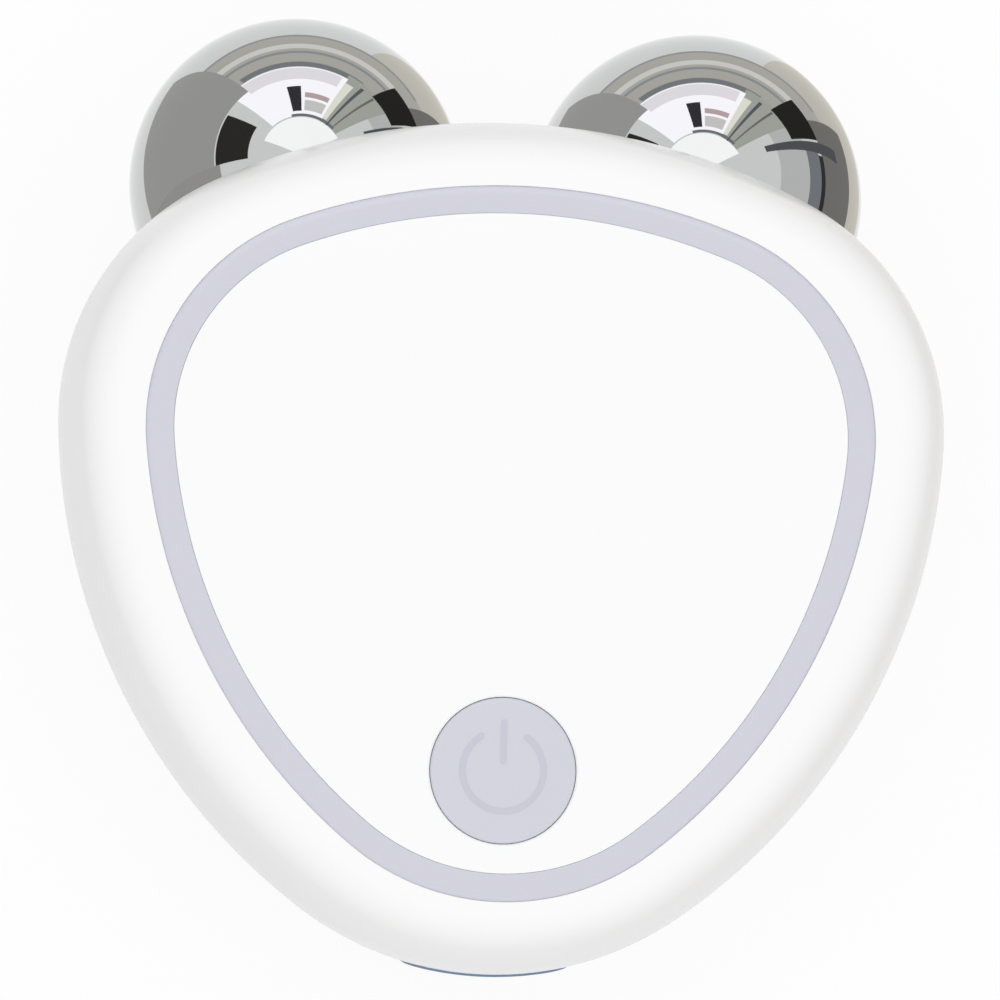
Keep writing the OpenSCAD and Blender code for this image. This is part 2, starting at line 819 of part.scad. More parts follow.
module port_plug() {
    stem_shrink = 2 * (socket_wall + plug_gap);
    stem_tip = pocket_y + plug_stem_l;
    at_rest() color("lightsteelblue") {
        intersection() {
            slot(flap_w, flap_h, tail_edge - 1, pocket_depth + 1);
            loft(BODY, back_levels(-flap_proud, 8), fine_step);
        }
        difference() {
            slot(socket_w - stem_shrink, socket_h - stem_shrink, pocket_y - cut, plug_stem_l);
            block(tongue_w + 2 * tongue_gap, stem_tip - plug_slot_l, plug_slot_l + cut,
                port_z - tongue_t / 2 - tongue_gap, tongue_t + 2 * tongue_gap);
        }
    }
}

// Battery.

module round_block(w, l, r, y, z, h) {
    translate([0, y, z])
        linear_extrude(h) {
            translate([-w / 2, r]) square([w, l - 2 * r]);
            translate([r - w / 2, 0]) square([w - 2 * r, l]);
            for (x = [r - w / 2, w / 2 - r], y = [r, l - r]) translate([x, y]) circle(r);
        }
}

module battery() {
    at_rest() color("silver")
        round_block(battery_w, battery_l, battery_corner_r, battery_y, battery_bottom, battery_t);
}

module battery_foam() {
    at_rest() color("dimgray")
        round_block(battery_w - 2 * foam_margin, battery_l - 2 * foam_margin, battery_corner_r,
            battery_y + foam_margin, foam_bottom, foam_t);
}

module battery_leads() {
    at_rest()
        for (side = [LEFT, RIGHT])
            color(side == LEFT ? "black" : "red")
                lead([
                    [side * 1.6, battery_end + cut, battery_bottom + battery_t / 2],
                    [side * 1.6, battery_end + 1.6, battery_bottom + battery_t / 2],
                    [side * 1.7, battery_end + 4.5, battery_bottom + battery_t],
                    [side * 1.7, main_board_end + 0.8, main_board_bottom - 2],
                    [side * 1.7, main_board_end + 1, main_board_bottom],
                    [side * 1.7, main_board_end + 0.5, lead_z],
                    [side * 1.6, main_board_end - 0.6, lead_z],
                    [side * 1.5, main_board_end - 1.8, lead_z],
                ]);
}

// Balls and axles.

module axle_carrier() {
    at_rest() color("gainsboro")
        difference() {
            union() {
                for (side = [LEFT, RIGHT]) at_ball(side) rod(boss_r, seat_face, boss_end);
                block(carrier_w, carrier_y, carrier_l, carrier_bottom, carrier_t);
                block(carrier_block_w, carrier_y, carrier_block_l, carrier_bottom, carrier_block_h);
            }
            for (side = [LEFT, RIGHT])
                at_ball(side) {
                    rod(axle_r, seat_face - cut, boss_end + cut);
                    rod(seal_r, seal_start, seal_start + seal_h);
                    rod(boss_r + 2, boss_end, axle_end + 1);
                }
            at_places(carrier_posts)
                rod(board_screw_r + 2 * hole_gap, carrier_bottom - cut, 0);
        }
}

module carrier_screws() {
    at_rest() color("silver")
        small_screws(carrier_posts, carrier_bottom + carrier_t, foam_bottom + screw_spare, true);
}

module ball(side) {
    at_rest() color("silver")
        at_ball(side)
            difference() {
                sphere(ball_r);
                rod(bush_d / 2, bore_end, ball_r + 1);
            }
}

module inner_bush(side) {
    at_rest() color("peru")
        at_ball(side) tube(bush_d / 2, axle_r + bush_gap, inner_bush_start, inner_bush_start + bush_l);
}

module outer_bush(side) {
    at_rest() color("peru")
        at_ball(side) tube(bush_d / 2, axle_r + bush_gap, outer_bush_end - bush_l, outer_bush_end);
}

module axle(side) {
    at_rest() color("lightgray")
        at_ball(side) {
            difference() {
                rod(axle_r, axle_tip, boss_end);
                tube(bush_d, clip_groove_r, clip_start, clip_start + clip_t);
            }
            rod(collar_d / 2, seat_face - collar_t, seat_face);
            rod(axle_thread_d / 2, boss_end, axle_end);
        }
}

module axle_clip(side) {
    at_rest() color("gray")
        at_ball(side)
            translate([0, 0, clip_start])
                rotate_extrude(angle = 300)
                    translate([clip_groove_r, 0]) square([clip_r - clip_groove_r, clip_t]);
}

module axle_seal(side) {
    at_rest() color("black") at_ball(side) tube(seal_r, axle_r, seal_start, seal_start + seal_h);
}

module electrode_tab(side) {
    at_rest() color("gold")
        at_ball(side)
            difference() {
                union() {
                    rod(tab_r, boss_end, nut_face);
                    translate([-tab_w / 2, side > 0 ? 0 : -tab_reach, boss_end])
                        cube([tab_w, tab_reach, tab_t]);
                }
                rod(axle_thread_d / 2, boss_end - cut, nut_face + cut);
            }
}

module axle_nut(side) {
    at_rest() color("silver")
        at_ball(side)
            translate([0, 0, nut_face])
                difference() {
                    cylinder(d = nut_af / cos(30), h = nut_h, $fn = 6);
                    translate([0, 0, -cut]) cylinder(d = axle_thread_d, h = nut_h + 2 * cut);
                }
}

module electrode_leads() {
    at_rest()
        for (side = [LEFT, RIGHT]) {
            start = ball_centre(side) + axle_way(side) * (nut_face + lead_r)
                + axle_side(side) * (tab_reach - lead_r);
            color("white")
                lead([
                    start,
                    start + [0, -0.9, 1],
                    [side * 6.6, main_board_end + 1.2, main_board_bottom],
                    [side * 5.5, main_board_end + 0.5, lead_z],
                    [side * 4.6, main_board_end - 0.6, lead_z],
                    [side * 4, main_board_end - 1.8, lead_z],
                ]);
        }
}

front_shell();
light_ring();
face_panel();
panel_adhesive();
inner_frame();
rear_shell();
power_button();
button_pad();
switch_plunger();
switch_body();
upper_board();
ring_lights();
upper_board_screws();
board_connector();
main_board();
board_components();
main_board_screws();
shell_screws();
charging_socket();
socket_tongue();
port_plug();
battery();
battery_foam();
battery_leads();
axle_carrier();
carrier_screws();
electrode_leads();
ball(LEFT);  // left_ball
inner_bush(LEFT);  // left_inner_bush
outer_bush(LEFT);  // left_outer_bush
axle(LEFT);  // left_axle
axle_clip(LEFT);  // left_axle_clip
axle_seal(LEFT);  // left_axle_seal
electrode_tab(LEFT);  // left_electrode_tab
axle_nut(LEFT);  // left_axle_nut
ball(RIGHT);  // right_ball
inner_bush(RIGHT);  // right_inner_bush
outer_bush(RIGHT);  // right_outer_bush
axle(RIGHT);  // right_axle
axle_clip(RIGHT);  // right_axle_clip
axle_seal(RIGHT);  // right_axle_seal
electrode_tab(RIGHT);  // right_electrode_tab
axle_nut(RIGHT);  // right_axle_nut
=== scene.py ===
# A palm-sized facial toner: a white body with a light ring and a power button on its face, and two
# chrome balls that roll in sockets at its wide end.

import json

import bmesh
import bpy
from math import asin, atan2, cos, degrees, hypot, pi, radians, sin, sqrt
from mathutils import Matrix, Vector
from mathutils.bvhtree import BVHTree
from mathutils.interpolate import poly_3d_calc


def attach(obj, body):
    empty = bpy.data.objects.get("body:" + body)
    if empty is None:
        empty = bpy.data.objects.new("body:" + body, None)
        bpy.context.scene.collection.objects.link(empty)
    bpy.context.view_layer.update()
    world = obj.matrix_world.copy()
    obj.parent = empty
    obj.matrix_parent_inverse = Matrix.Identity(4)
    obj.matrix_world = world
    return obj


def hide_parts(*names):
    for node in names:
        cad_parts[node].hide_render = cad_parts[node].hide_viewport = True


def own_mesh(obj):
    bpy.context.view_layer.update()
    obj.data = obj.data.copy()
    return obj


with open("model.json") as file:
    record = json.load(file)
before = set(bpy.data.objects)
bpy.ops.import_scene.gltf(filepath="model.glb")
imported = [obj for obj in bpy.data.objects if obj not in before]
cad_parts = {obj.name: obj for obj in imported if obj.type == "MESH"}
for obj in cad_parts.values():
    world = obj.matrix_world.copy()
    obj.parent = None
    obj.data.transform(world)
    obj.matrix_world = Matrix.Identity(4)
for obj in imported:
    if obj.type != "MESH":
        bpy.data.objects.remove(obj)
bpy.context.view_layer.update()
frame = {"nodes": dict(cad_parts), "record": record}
print("stage: frame loaded")

mm = 0.001
left, right = -1, 1
overshoot = 1        # how far a cutter runs past what it cuts
creaseAngle = 35     # edges that turn by more degrees than this stay crisp

# Sizes are in millimetres in the device's own frame: the flat face at z = 0, z out of the face,
# y from the tail towards the balls.
body = {
    "width": 62, "length": 59.5, "thickness": 22, "wall": 2,
    "cornerR": 18.3, "topR": 47.1, "sideR": 43.1, "tailR": 22.4,
    "partingDepth": 9, "edgeIn": 4.6, "edgeR": 3.4, "backR": 12.6,
    "seam": 0.04, "seamRound": 0.1,      # half the hairline between the shells, the round of its edges
    "seamClear": 0.05,                   # least height between that round and the next level
}
ball = {
    "r": 12, "pitch": 28.8, "drop": 3.2, "depth": 20.6, "socketGap": 1,
    "toe": 40, "dip": 25,                # how the axles lie, in degrees
    "boreR": 3.5, "boreEnd": -6, "boreRound": 0.25,
    "bossHoleR": 3.8, "bossHole": (11, 17),   # the shell's hole for the axle's boss, from and to
}
bodyTop, tailEdge = body["length"] / 2, -body["length"] / 2
ballY = bodyTop - ball["drop"]


# The radius of the body's side between the parting line and the round edge of its face.
def flankRadius():
    rise = body["partingDepth"] - body["edgeR"]
    return (body["edgeIn"] ** 2 + rise ** 2 - body["edgeR"] ** 2) / (
        2 * (body["edgeIn"] - body["edgeR"]))


# The device lies on its two balls and on the rounded back edge of its tail.
def restTilt():
    drop = ball["depth"] + body["backR"] - body["thickness"]
    reach = ballY - tailEdge - body["backR"]
    return atan2(drop, reach) - asin((body["backR"] - ball["r"]) / hypot(drop, reach))


def restPlace():
    tilt, flank = restTilt(), flankRadius()
    lift = ball["r"] + ball["depth"] * cos(tilt) - ballY * sin(tilt)
    front = ballY * cos(tilt) + ball["depth"] * sin(tilt) + ball["r"]
    back = (tailEdge + flank) * cos(tilt) + body["partingDepth"] * sin(tilt) - flank
    move = Matrix.Translation((0, -(front + back) / 2 * mm, lift * mm))
    return move @ Matrix.Rotation(tilt, 4, "X") @ Matrix.Scale(mm, 4)


toRow = restPlace()     # from the device's own frame in millimetres to the row's in metres


# Camera.

camera = {
    "yaw": 4.54, "pitch": -5.31, "roll": -1.61,   # how the device is turned to the camera, in degrees
    "middleY": 5.885, "aside": (0.823, 3.332), "away": 441,   # from the face's point at middleY
    "lens": 231.66, "sensor": 36, "near": 0.01, "far": 20,    # the last two in metres
}


def addCamera():
    c = camera
    turn = (Matrix.Rotation(radians(c["roll"]), 3, "Z") @ Matrix.Rotation(radians(c["pitch"]), 3, "X")
            @ Matrix.Rotation(radians(c["yaw"]), 3, "Y")).transposed()
    place = turn @ Vector((-c["aside"][0], -c["aside"][1], c["away"])) + Vector((0, c["middleY"], 0))
    data = bpy.data.cameras.new("camera")
    data.sensor_width, data.lens = c["sensor"], c["lens"]
    data.clip_start, data.clip_end = c["near"], c["far"]
    obj = bpy.data.objects.new("camera", data)
    bpy.context.collection.objects.link(obj)
    obj.matrix_world = Matrix.Translation(toRow @ place) @ (
        Matrix.Rotation(restTilt(), 3, "X") @ turn).to_4x4()
    bpy.context.scene.camera = obj


addCamera()
print("stage: camera placed")


# Outlines: six arcs, each with the same number of points whatever the outline.

pointsPerArc = (26, 34, 26, 34, 34, 34)


def bearing(a, b):
    return atan2(b[1] - a[1], b[0] - a[0])


# Each arc as its centre, its radius and the angles where it meets the arcs before and after it.
def arcsOf(shape):
    halfW, top, tail, cornerR, topR, sideR, tailR = shape
    topMid, tailMid = Vector((0, top - topR)), Vector((0, tail + tailR))
    x = halfW - cornerR
    cornerMid = Vector((x, topMid.y + sqrt((topR - cornerR) ** 2 - x * x)))
    span = (cornerMid - tailMid).length
    along = (cornerMid - tailMid) / span
    reachTail, reachCorner = sideR - tailR, sideR - cornerR
    foot = (reachTail ** 2 - reachCorner ** 2 + span ** 2) / (2 * span)
    sideMid = tailMid + along * foot + Vector((-along.y, along.x)) * sqrt(reachTail ** 2 - foot ** 2)
    topJoin, sideJoin = bearing(topMid, cornerMid), bearing(sideMid, cornerMid)
    tailJoin = bearing(sideMid, tailMid)
    return [
        (cornerMid, cornerR, sideJoin, topJoin),
        (topMid, topR, topJoin, pi - topJoin),
        (Vector((-cornerMid.x, cornerMid.y)), cornerR, pi - topJoin, pi - sideJoin),
        (Vector((-sideMid.x, sideMid.y)), sideR, pi - sideJoin, pi - tailJoin),
        (tailMid, tailR, -pi - tailJoin, tailJoin),
        (sideMid, sideR, tailJoin, sideJoin),
    ]


def loopAt(shape, inset, z):
    out = []
    for (centre, r, first, last), n in zip(arcsOf(shape), pointsPerArc):
        for i in range(n):
            a = first + (last - first) * i / n
            out.append(Vector((centre.x + (r - inset) * cos(a), centre.y + (r - inset) * sin(a), z)))
    return out


bodyShape = (body["width"] / 2, bodyTop, tailEdge, body["cornerR"], body["topR"], body["sideR"],
             body["tailR"])


# Mesh helpers.

def addMesh(name, verts, faces):
    mesh = bpy.data.meshes.new(name)
    mesh.from_pydata([tuple(v) for v in verts], [], faces)
    obj = bpy.data.objects.new(name, mesh)
    bpy.context.collection.objects.link(obj)
    return obj


def shade(mesh, smoothAngle):
    mesh.shade_smooth()
    mesh.set_sharp_from_angle(angle=radians(smoothAngle))


# A mesh whose faces all look outwards, with smooth shading.
def addSolid(name, verts, faces, smoothAngle):
    obj = addMesh(name, verts, faces)
    b = bmesh.new()
    b.from_mesh(obj.data)
    bmesh.ops.recalc_face_normals(b, faces=b.faces)
    b.to_mesh(obj.data)
    b.free()
    shade(obj.data, smoothAngle)
    return obj


# Joins loops of equal length. ends is "capped", "open" or "ring" (the last joins the first).
def stack(name, loops, ends="capped", smoothAngle=creaseAngle):
    n = len(loops[0])
    verts = [p for loop in loops for p in loop]
    rows = len(loops) if ends == "ring" else len(loops) - 1
    faces = []
    for i in range(rows):
        a, b = i * n, (i + 1) % len(loops) * n
        faces += [(a + k, a + (k + 1) % n, b + (k + 1) % n, b + k) for k in range(n)]
    if ends == "capped":
        faces += [tuple(range(n - 1, -1, -1)), tuple(range(rows * n, rows * n + n))]
    return addSolid(name, verts, faces, smoothAngle)


# Turns a profile of (radius, height) round the z axis of place. It starts and ends on that axis, or
# runs round to its own start.
def lathe(name, profile, place, steps=128, smoothAngle=creaseAngle):
    verts, faces, rings = [], [], []
    for r, z in profile:
        first, many = len(verts), steps if r > 0 else 1
        rings.append(list(range(first, first + many)))
        verts += [Vector((r * cos(2 * pi * k / steps), r * sin(2 * pi * k / steps), z))
                  for k in range(many)]
    if profile[0][0] > 0:
        rings.append(rings[0])
    for a, b in zip(rings, rings[1:]):
        for k in range(steps):
            j = (k + 1) % steps
            face = (a[k % len(a)], a[j % len(a)], b[j % len(b)], b[k % len(b)])
            faces.append(tuple(dict.fromkeys(face)))
    obj = addSolid(name, verts, faces, smoothAngle)
    obj.data.transform(place)
    return obj


# Points of an arc, as (across, up), between two angles in degrees.
def corner(r, centre, first, last, steps=5):
    turn = [radians(first + (last - first) * i / steps) for i in range(steps + 1)]
    return [(centre[0] + r * cos(a), centre[1] + r * sin(a)) for a in turn]


def carve(obj, cutters, smoothAngle=creaseAngle):
    for cutter in cutters:
        m = obj.modifiers.new("cut", "BOOLEAN")
        m.operation, m.solver, m.object = "DIFFERENCE", "EXACT", cutter
    mesh = bpy.data.meshes.new_from_object(obj.evaluated_get(bpy.context.evaluated_depsgraph_get()))
    obj.modifiers.clear()
    obj.data = mesh
    for cutter in cutters:
        bpy.data.objects.remove(cutter, do_unlink=True)
    shade(mesh, smoothAngle)
    return obj


# Gives obj the shading of an uncut skin wherever it still lies on it, and of the ball sockets.
# near is how far off still counts as on it, and facing the least cosine between the two.
def shadeLike(obj, skin, near=0.004, facing=0.8):
    mesh, source = obj.data, skin.data
    tree = BVHTree.FromObject(skin, bpy.context.evaluated_depsgraph_get())
    normals = [Vector((0, 0, 0))] * len(mesh.loops)
    for p in mesh.polygons:
        hit = tree.find_nearest(p.center)
        onSkin = hit[3] < near and hit[1].dot(p.normal) > facing
        socket = next((s for s in (left, right) if all(
            abs((mesh.vertices[v].co - ballCentre(s)).length - socketR) < near for v in p.vertices)), 0)
        for v, loop in zip(p.vertices, p.loop_indices):
            co = mesh.vertices[v].co
            if onSkin:
                spot, _, face, _ = tree.find_nearest(co)
                corners = source.polygons[face].vertices
                weights = poly_3d_calc([source.vertices[i].co for i in corners], spot)
                total = sum((source.vertices[i].normal * w for i, w in zip(corners, weights)),
                            Vector())
                normals[loop] = total.normalized()
            elif socket:
                normals[loop] = (ballCentre(socket) - co).normalized()
    mesh.normals_split_custom_set(normals)
    bpy.data.objects.remove(skin, do_unlink=True)


# Moves obj to its place and gives it its slot's finish, or the one named in look.
def finishPiece(obj, bodyName, slotName, *stands, look=None):
    obj.data.transform(toRow)
    obj.data.materials.clear()
    obj.data.materials.append(materials[look or slotLooks[slotName]])
    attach(obj, bodyName)
    if stands:
        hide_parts(*stands)


# Materials.

# An sRGB hex colour as linear red, green, blue and alpha.
def linear(hexColour):
    parts = [int(hexColour[i:i + 2], 16) / 255 for i in (1, 3, 5)]
    return (*[p / 12.92 if p <= 0.04045 else ((p + 0.055) / 1.055) ** 2.4 for p in parts], 1)


# Adds a node. values and links go to its inputs, and settings to the node itself.
def addNode(tree, kind, values=None, links=None, **settings):
    n = tree.nodes.new(kind)
    for key, value in settings.items():
        setattr(n, key, value)
    for key, value in (values or {}).items():
        n.inputs[key].default_value = value
    for key, socket in (links or {}).items():
        tree.links.new(socket, n.inputs[key])
    return n


def emptyMaterial(name):
    m = bpy.data.materials.new(name)
    m.use_nodes = True
    m.node_tree.nodes.clear()
    return m, m.node_tree


# What a finish has unless it says otherwise, and how its noise is drawn: it mostly lies between low
# and high.
plainLook = {"detail": 3, "relief": 0.1, "height": 0.01, "packed": (1, 1, 1)}
noise = {"roughness": 0.55, "low": 0.3, "high": 0.7}


# A material from its base values, with a noise that varies its colour, roughness and relief. size is
# the noise's real size and height its relief, in millimetres. packed draws it closer along x, y or z.
def makeMaterial(name, look):
    look = {**plainLook, **look}
    m, tree = emptyMaterial(name)
    out = addNode(tree, "ShaderNodeOutputMaterial")
    coords = addNode(tree, "ShaderNodeTexCoord")
    spread = addNode(tree, "ShaderNodeMapping", {"Scale": look["packed"]},
                     {"Vector": coords.outputs["Object"]})
    grain = addNode(tree, "ShaderNodeTexNoise",
                    {"Scale": 1 / (look["size"] * mm), "Detail": look["detail"],
                     "Roughness": noise["roughness"]}, {"Vector": spread.outputs["Vector"]})
    tone = addNode(tree, "ShaderNodeMapRange",
                   {"From Min": noise["low"], "From Max": noise["high"], "To Min": look["rough"][0],
                    "To Max": look["rough"][1]}, {"Value": grain.outputs["Fac"]})
    colour = addNode(tree, "ShaderNodeMix",
                     {"A": linear(look["colour"]), "B": linear(look["second"])},
                     {"Factor": grain.outputs["Fac"]}, data_type="RGBA")
    bump = addNode(tree, "ShaderNodeBump",
                   {"Strength": look["relief"], "Distance": look["height"] * mm},
                   {"Height": grain.outputs["Fac"]})
    shader = addNode(tree, "ShaderNodeBsdfPrincipled", look["shader"],
                     {"Base Color": colour.outputs["Result"], "Roughness": tone.outputs["Result"],
                      "Normal": bump.outputs["Normal"]})
    tree.links.new(shader.outputs["BSDF"], out.inputs["Surface"])
    return m


looks = {
    # ABS, injection moulded in a polished tool: a soft gloss over slow, barely uneven waves
    "mouldedGlossAbs": {"colour": "#F9F8F8", "second": "#F8F7F7", "size": 6, "rough": (0.21, 0.25),
                        "height": 0.003, "shader": {"IOR": 1.46, "Specular IOR Level": 0.12}},
    # cast acrylic sheet, printed white on its back: flat, a little cooler than the shells
    "backPrintedAcrylic": {"colour": "#F8F8F9", "second": "#F7F7F8", "size": 14, "rough": (0.07, 0.08),
                           "height": 0.0001, "shader": {"IOR": 1.49, "Specular IOR Level": 0.2}},
    # opal polycarbonate light guide: milky lilac-grey with some depth under a polished top
    "opalLightGuide": {"colour": "#CECDD9", "second": "#CCCBD7", "size": 8, "rough": (0.29, 0.34),
                       "height": 0.002,
                       "shader": {"IOR": 1.58, "Subsurface Weight": 0.1, "Subsurface Scale": 0.0008,
                                  "Coat Weight": 0.6, "Coat Roughness": 0.06}},
    # opal polycarbonate, moulded in a satin tool: milky grey with a soft sheen
    "opalButton": {"colour": "#D0D1DA", "second": "#CDCED8", "size": 5, "rough": (0.3, 0.36),
                   "height": 0.002,
                   "shader": {"IOR": 1.58, "Subsurface Weight": 0.12, "Subsurface Scale": 0.001}},
    # grey ink, pad printed: flat and slightly duller than what is round it
    "printedMark": {"colour": "#C6C7D2", "second": "#C2C3CF", "size": 0.4, "rough": (0.4, 0.5),
                    "height": 0.002, "shader": {"IOR": 1.5}},
    # chrome plate over polished brass: a mirror with faint wiping marks, drawn wider than they are
    "polishedChrome": {"colour": "#C6C7C7", "second": "#C3C4C4", "size": 3, "rough": (0.015, 0.03),
                       "height": 0.0004, "shader": {"Metallic": 1.0}},
    # silicone, compression moulded: soft and dusty, the pad without the plug's bloom
    "slateSilicone": {"colour": "#718BAB", "second": "#6A84A4", "size": 0.6, "rough": (0.5, 0.62),
                      "height": 0.01, "shader": {"IOR": 1.41, "Sheen Weight": 0.2}},
    "padSilicone": {"colour": "#A3A4AA", "second": "#989AA0", "size": 0.5, "rough": (0.5, 0.62),
                    "height": 0.008, "shader": {"IOR": 1.41}},
    # nitrile rubber ring: black with a dull bloom
    "nitrileRubber": {"colour": "#1B1B1C", "second": "#232324", "size": 0.3, "rough": (0.55, 0.7),
                      "height": 0.006, "shader": {"IOR": 1.52}},
    # uncoated ABS off a plain tool: matt, faint flow marks
    "mouldedMattAbs": {"colour": "#DFDFDD", "second": "#D9D9D7", "size": 1.2, "rough": (0.42, 0.55),
                       "height": 0.008, "packed": (1, 0.4, 1), "shader": {"IOR": 1.53}},
    # nylon off a plain tool: black and finely matt
    "blackNylon": {"colour": "#17181A", "second": "#1F2023", "size": 0.35, "rough": (0.45, 0.6),
                   "height": 0.006, "shader": {"IOR": 1.53}},
    # acrylic foam tape: milky edge, soft
    "foamTape": {"colour": "#DEDED8", "second": "#D4D4CE", "size": 0.25, "rough": (0.6, 0.75),
                 "height": 0.01, "shader": {"IOR": 1.47}},
    # glass laminate under green solder mask: the weave shows through the lacquer
    "solderMask": {"colour": "#12482C", "second": "#0E3A25", "size": 0.5, "rough": (0.22, 0.34),
                   "height": 0.008, "detail": 1, "shader": {"IOR": 1.5}},
    # phosphor under clear resin: pale yellow
    "phosphorResin": {"colour": "#EFE6A4", "second": "#E6DC92", "size": 0.2, "rough": (0.15, 0.25),
                      "height": 0.002, "shader": {"IOR": 1.53}},
    # zinc-plated steel, cold headed: bright with fine turning marks
    "zincSteel": {"colour": "#C2C3C8", "second": "#B2B4BA", "size": 0.4, "rough": (0.24, 0.38),
                  "height": 0.003, "packed": (1, 1, 4), "shader": {"Metallic": 1.0}},
    # ground stainless steel: fine lines round the shaft
    "groundStainless": {"colour": "#C9C9CC", "second": "#BDBDC1", "size": 0.3, "rough": (0.18, 0.28),
                        "height": 0.002, "packed": (1, 6, 1), "shader": {"Metallic": 1.0}},
    # sintered bronze, oil filled: porous, brown
    "sinteredBronze": {"colour": "#9A6B45", "second": "#7E5536", "size": 0.15, "rough": (0.35, 0.5),
                       "height": 0.01, "shader": {"Metallic": 1.0}},
    # punched brass sheet: yellow, lightly rolled
    "punchedBrass": {"colour": "#C9A968", "second": "#BE9C5A", "size": 0.4, "rough": (0.25, 0.36),
                     "height": 0.003, "packed": (5, 1, 1), "shader": {"Metallic": 1.0}},
    # laminated aluminium pouch: dull silver with slack wrinkles
    "pouchFoil": {"colour": "#C4C5C9", "second": "#B7B8BD", "size": 4, "rough": (0.3, 0.42),
                  "height": 0.05, "relief": 0.3, "shader": {"Metallic": 1.0}},
    # closed-cell polyethylene foam: charcoal, open pores on its cut faces
    "cellFoam": {"colour": "#2B2B2C", "second": "#1D1D1E", "size": 0.4, "rough": (0.8, 0.95),
                 "height": 0.04, "relief": 0.4, "shader": {"IOR": 1.45}},
    # soft PVC sheath, extruded: waxy and even
    "redSheath": {"colour": "#8E2322", "second": "#7F1E1D", "size": 0.8, "rough": (0.35, 0.45),
                  "height": 0.004, "shader": {"IOR": 1.53}},
    "whiteSheath": {"colour": "#DCDCDA", "second": "#D2D2D0", "size": 0.8, "rough": (0.35, 0.45),
                    "height": 0.004, "shader": {"IOR": 1.53}},
}
materials = {name: makeMaterial(name, look) for name, look in looks.items()}

# The finish of each of the record's slots.
slotLooks = {
    "white_shell": "mouldedGlossAbs", "white_panel": "backPrintedAcrylic",
    "milky_ring": "opalLightGuide", "milky_button": "opalButton", "adhesive": "foamTape",
    "frame_plastic": "mouldedMattAbs", "pad_silicone": "padSilicone", "black_plastic": "blackNylon",
    "switch_metal": "blackNylon", "board": "solderMask", "light_package": "phosphorResin",
    "steel": "zincSteel", "plug_silicone": "slateSilicone", "battery_foil": "pouchFoil",
    "foam": "cellFoam", "lead_sheath": "redSheath", "lead_sheath_white": "whiteSheath",
    "chrome_ball": "polishedChrome", "bush_bronze": "sinteredBronze", "axle_steel": "groundStainless",
    "seal_rubber": "nitrileRubber", "tab_brass": "punchedBrass",
}


def dressNodes():
    for part in frame["record"]["subparts"]:
        mesh = frame["nodes"][part["node"]].data
        mesh.materials.clear()
        mesh.materials.append(materials[slotLooks[part["material_slot"]]])


dressNodes()
print("stage: materials made")


# Balls: chrome spheres with a blind bore for their bushes.

socketR = ball["r"] + ball["socketGap"]


def ballCentre(side):
    return Vector((side * ball["pitch"] / 2, ballY, -ball["depth"]))


# The place of a ball. Its z axis is the axle, and runs from the ball's centre into the body.
def atBall(side):
    turn = Matrix.Rotation(radians(270 - side * ball["toe"]), 4, "Z")
    return Matrix.Translation(ballCentre(side)) @ turn @ Matrix.Rotation(
        radians(90 - ball["dip"]), 4, "Y")


def ballProfile(steps=96):
    b = ball
    mouth = asin((b["boreR"] + b["boreRound"]) / b["r"])
    skin = [(b["r"] * sin(a), -b["r"] * cos(a))
            for a in [(pi - mouth) * i / steps for i in range(steps + 1)]]
    top = skin[-1][1] - b["boreRound"]
    lip = corner(b["boreRound"], (b["boreR"] + b["boreRound"], top), 90, 180)
    return [(0, -b["r"])] + skin[1:-1] + lip + [(b["boreR"], b["boreEnd"]), (0, b["boreEnd"])]


def makeBalls():
    for side, name in ((left, "left"), (right, "right")):
        obj = lathe(name + "ChromeBall", ballProfile(), atBall(side), steps=160, smoothAngle=30)
        finishPiece(obj, name + "_roller", "chrome_ball", name + "_ball")


makeBalls()
print("stage: balls made")


# The two shells. Levels are (inset, z) of the body's outline, moved in by skin.

# From the parting line to the face.
def frontLevels(skin, flankSteps=14, edgeSteps=12):
    flank = flankRadius()
    turn = atan2(body["partingDepth"] - body["edgeR"], flank - body["edgeIn"])
    low = [turn * i / flankSteps for i in range(flankSteps + 1)]
    high = [turn + (pi / 2 - turn) * i / edgeSteps for i in range(1, edgeSteps + 1)]
    return ([(flank - (flank - skin) * cos(a), (flank - skin) * sin(a) - body["partingDepth"])
             for a in low]
            + [(body["edgeIn"] - (body["edgeR"] - skin) * cos(a),
                (body["edgeR"] - skin) * sin(a) - body["edgeR"]) for a in high])


# From the flat back to the parting line.
def backLevels(skin, steps=28):
    turn = [pi / 2 * i / steps for i in range(steps, -1, -1)]
    r = body["backR"]
    return [(r - (r - skin) * cos(a), r - body["thickness"] - (r - skin) * sin(a)) for a in turn]


# Two balls of radius r, to cut with.
def ballCutters(r, steps=72):
    arc = [(r * sin(pi * i / steps), -r * cos(pi * i / steps)) for i in range(steps + 1)]
    arc[0], arc[-1] = (0, -r), (0, r)
    return [lathe("cutter", arc, atBall(side), steps=120) for side in (left, right)]


# Holes through the sockets' walls for the bosses that hold the axles.
def bossCutters():
    r, (start, end) = ball["bossHoleR"], ball["bossHole"]
    return [lathe("cutter", [(0, start), (r, start), (r, end), (0, end)], atBall(side), steps=64)
            for side in (left, right)]


# The room inside a shell, which leaves a wall round each ball's socket.
def hollow(levels):
    return carve(stack("hollow", [loopAt(bodyShape, *level) for level in levels]),
                 ballCutters(socketR + body["wall"]))


